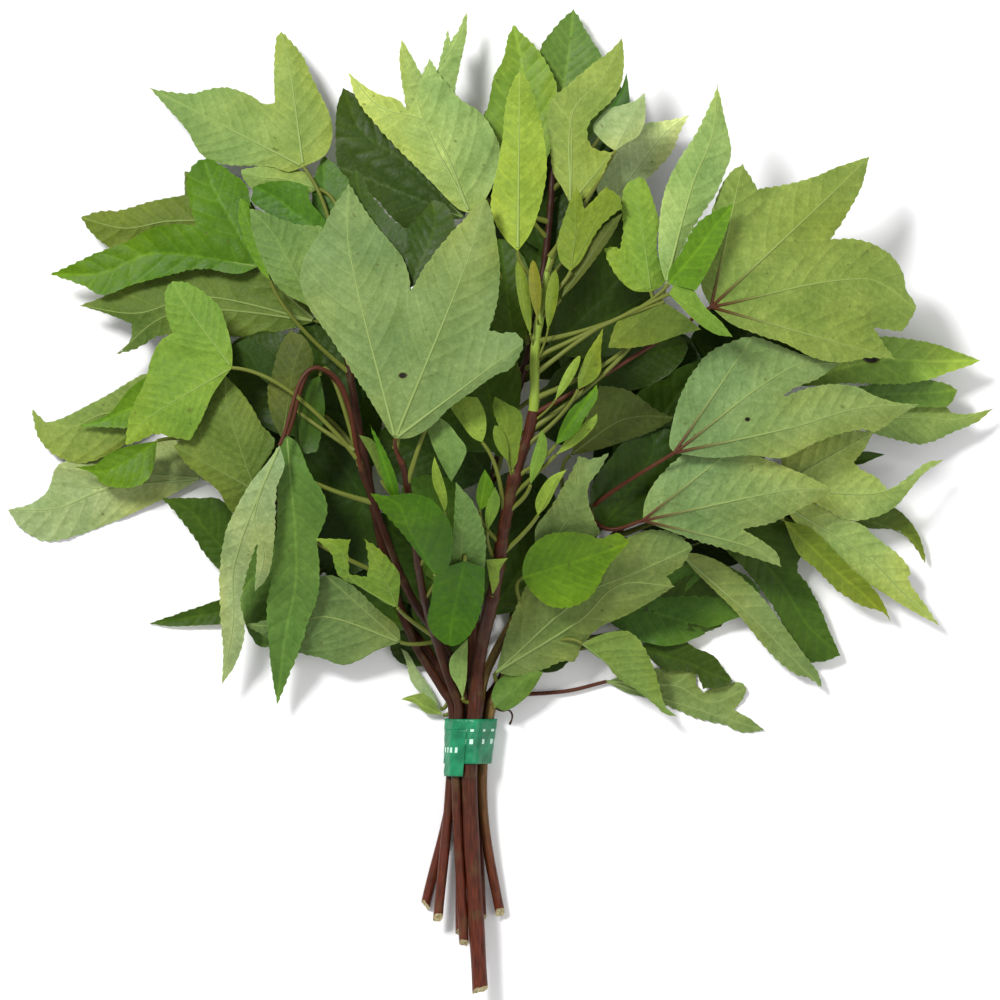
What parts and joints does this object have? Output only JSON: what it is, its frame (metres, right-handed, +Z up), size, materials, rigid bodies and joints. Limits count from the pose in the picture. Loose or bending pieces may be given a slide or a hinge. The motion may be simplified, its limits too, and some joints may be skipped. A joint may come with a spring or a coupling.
{
  "type": "bunch of leafy greens (roselle or kenaf kind, sold as jute leaves)",
  "caption": "Bunch of long leafy stems with lobed leaves, tied near the cut ends with a plain green tape, lying on its side.",
  "frame": {"origin": "middle of the bunch's bounding box, on the surface that it lies on", "axes": "+Z up from the surface, +Y along the stems from the cut ends to the leaf tips, +X to the right seen from above"},
  "size_m": [0.3974, 0.3952, 0.1012],
  "materials": {
    "leaf": "fresh leaf, soft satin",
    "bark": "red-brown green-wood bark, satin",
    "tape": "smooth film, slightly wrinkled"
  },
  "bodies": {
    "root": {"leafy_stem_1": "leaf", "leafy_stem_2": "leaf", "leafy_stem_3": "leaf", "leafy_stem_4": "leaf", "leafy_stem_5": "leaf", "leafy_stem_6": "leaf", "leafy_stem_7": "leaf", "leafy_stem_8": "leaf", "leafy_stem_9": "leaf", "binding_tape": "tape"}
  },
  "joints": []
}
